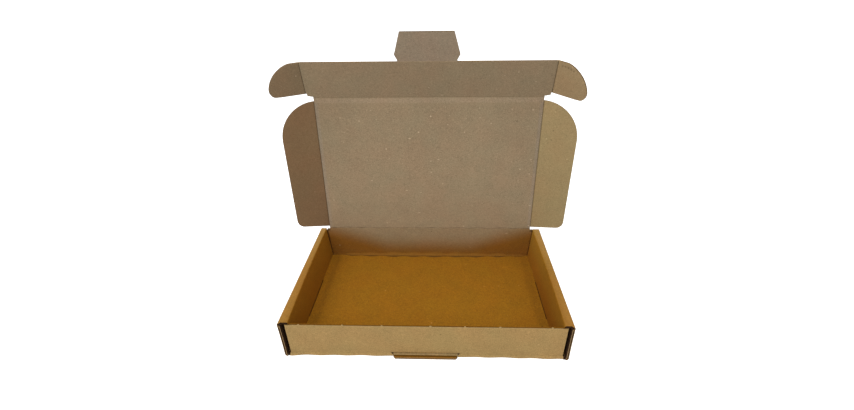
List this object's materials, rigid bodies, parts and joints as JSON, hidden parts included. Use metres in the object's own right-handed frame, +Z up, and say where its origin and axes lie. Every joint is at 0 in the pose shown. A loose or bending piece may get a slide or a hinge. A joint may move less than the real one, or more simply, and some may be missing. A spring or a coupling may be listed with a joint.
{
  "type": "corrugated mailer box",
  "caption": "Shallow folded cardboard mailer tray with rolled double side walls and a hinged lid with tuck-in side flaps, front flap, ears and locking tab.",
  "frame": {"origin": "middle of the tray's flat underside, on the surface that it stands on", "axes": "+X to the right along the hinge, +Y to the back where the lid is hinged, +Z up"},
  "size_m": [0.3668, 0.1954, 0.2999],
  "materials": {
    "corrugated_board": "uncoated recycled kraft"
  },
  "bodies": {
    "tray": {"tray": "corrugated_board"},
    "lid": {"lid_panel": "corrugated_board"},
    "left_flap": {"lid_left_flap": "corrugated_board"},
    "right_flap": {"lid_right_flap": "corrugated_board"},
    "front_flap": {"front_flap": "corrugated_board"},
    "left_ear": {"left_ear": "corrugated_board"},
    "right_ear": {"right_ear": "corrugated_board"},
    "lock_tab": {"lock_tab": "corrugated_board"}
  },
  "joints": [
    {"name": "lid_hinge", "type": "hinge", "parent": "tray", "child": "lid", "pos_m": [0, 0.08775, 0.04835], "axis": [1, 0, 0], "range_deg": [-85.4, 94.6]},
    {"name": "left_flap_fold", "type": "hinge", "parent": "lid", "child": "left_flap", "pos_m": [-0.13795, 0.08775, 0.04835], "axis": [0, 0.0802, 0.9968], "range_deg": [-20.5, 84.5]},
    {"name": "right_flap_fold", "type": "hinge", "parent": "lid", "child": "right_flap", "pos_m": [0.13795, 0.08775, 0.04835], "axis": [0, -0.0802, -0.9968], "range_deg": [-19.5, 85.5]},
    {"name": "front_flap_fold", "type": "hinge", "parent": "lid", "child": "front_flap", "pos_m": [0, 0.10197, 0.22513], "axis": [1, 0, 0], "range_deg": [-32.7, 72.3]},
    {"name": "left_ear_fold", "type": "hinge", "parent": "front_flap", "child": "left_ear", "pos_m": [-0.1461, 0.10197, 0.22513], "axis": [0, -0.2267, 0.974], "range_deg": [-35, 70]},
    {"name": "right_ear_fold", "type": "hinge", "parent": "front_flap", "child": "right_ear", "pos_m": [0.1461, 0.10197, 0.22513], "axis": [0, 0.2267, -0.974], "range_deg": [-55, 50]},
    {"name": "lock_tab_fold", "type": "hinge", "parent": "front_flap", "child": "lock_tab", "pos_m": [0, 0.09194, 0.26823], "axis": [1, 0, 0], "range_deg": [-15, 90]}
  ]
}
